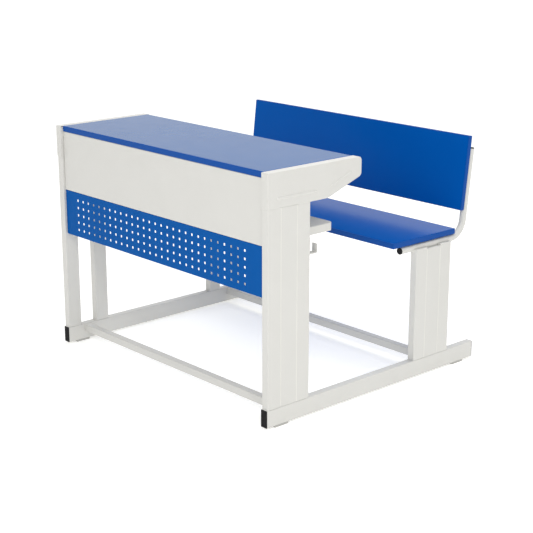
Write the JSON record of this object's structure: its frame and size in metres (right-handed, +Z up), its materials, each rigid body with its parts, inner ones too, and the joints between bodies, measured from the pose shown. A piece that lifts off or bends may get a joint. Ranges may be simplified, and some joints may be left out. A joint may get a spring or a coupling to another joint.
{
  "type": "school desk with attached bench",
  "caption": "Two-seat classroom desk with an attached bench: white steel frame, blue boards, perforated blue front panel, book shelf and bag hooks.",
  "frame": {"origin": "on the floor, under the middle of the whole set's bounding box", "axes": "+X along the length of the desk, +Y from the front panel towards the backrest of the bench, +Z up"},
  "size_m": [1.0516, 0.925, 0.76],
  "materials": {
    "white_coat": "warm off-white powder coat, satin, very fine orange peel",
    "blue_coat": "deep blue powder coat on sheet steel, satin",
    "blue_board": "blue laminated board with blue edge band, smooth, semi-gloss",
    "black_plastic": "black moulded polyethylene, fine texture",
    "grey_plastic": "light grey nylon glide, matte",
    "zinc_steel": "bright zinc-plated screw"
  },
  "bodies": {
    "root": {"back_board": "blue_board", "back_screw_lower_left": "zinc_steel", "back_screw_lower_right": "zinc_steel", "back_screw_upper_left": "zinc_steel", "back_screw_upper_right": "zinc_steel", "bag_hook_left": "white_coat", "bag_hook_right": "white_coat", "bench_leg_cover_right": "white_coat", "bench_leg_tube_front_left": "white_coat", "bench_leg_tube_front_right": "white_coat", "bench_leg_tube_rear_left": "white_coat", "bench_leg_tube_rear_right": "white_coat", "bench_tube_left": "white_coat", "bench_tube_right": "white_coat", "book_shelf": "white_coat", "crossbar_front": "white_coat", "crossbar_rear": "white_coat", "desk_leg_cover_right": "white_coat", "desk_leg_tube_front_left": "white_coat", "desk_leg_tube_front_right": "white_coat", "desk_leg_tube_rear_left": "white_coat", "desk_leg_tube_rear_right": "white_coat", "desktop_board": "blue_board", "desktop_cleat_left": "white_coat", "desktop_cleat_right": "white_coat", "desktop_screw_front_left": "zinc_steel", "desktop_screw_front_right": "zinc_steel", "desktop_screw_rear_left": "zinc_steel", "desktop_screw_rear_right": "zinc_steel", "floor_rail_left": "white_coat", "floor_rail_right": "white_coat", "front_panel_perforated": "blue_coat", "front_panel_upper": "white_coat", "glide_pad_front_left": "grey_plastic", "glide_pad_front_right": "grey_plastic", "glide_pad_rear_left": "grey_plastic", "glide_pad_rear_right": "grey_plastic", "hook_screw_left": "zinc_steel", "hook_screw_right": "zinc_steel", "rail_cap_front_left": "black_plastic", "rail_cap_front_right": "black_plastic", "rail_cap_rear_left": "black_plastic", "rail_cap_rear_right": "black_plastic", "seat_board": "blue_board", "seat_screw_front_left": "zinc_steel", "seat_screw_front_right": "zinc_steel", "seat_screw_rear_left": "zinc_steel", "seat_screw_rear_right": "zinc_steel", "shelf_screw_front_left": "zinc_steel", "shelf_screw_front_right": "zinc_steel", "shelf_screw_rear_left": "zinc_steel", "shelf_screw_rear_right": "zinc_steel", "side_bracket_left": "white_coat", "side_bracket_right": "white_coat", "tube_plug_front_left": "black_plastic", "tube_plug_front_right": "black_plastic", "tube_plug_top_left": "black_plastic", "tube_plug_top_right": "black_plastic"}
  },
  "joints": []
}
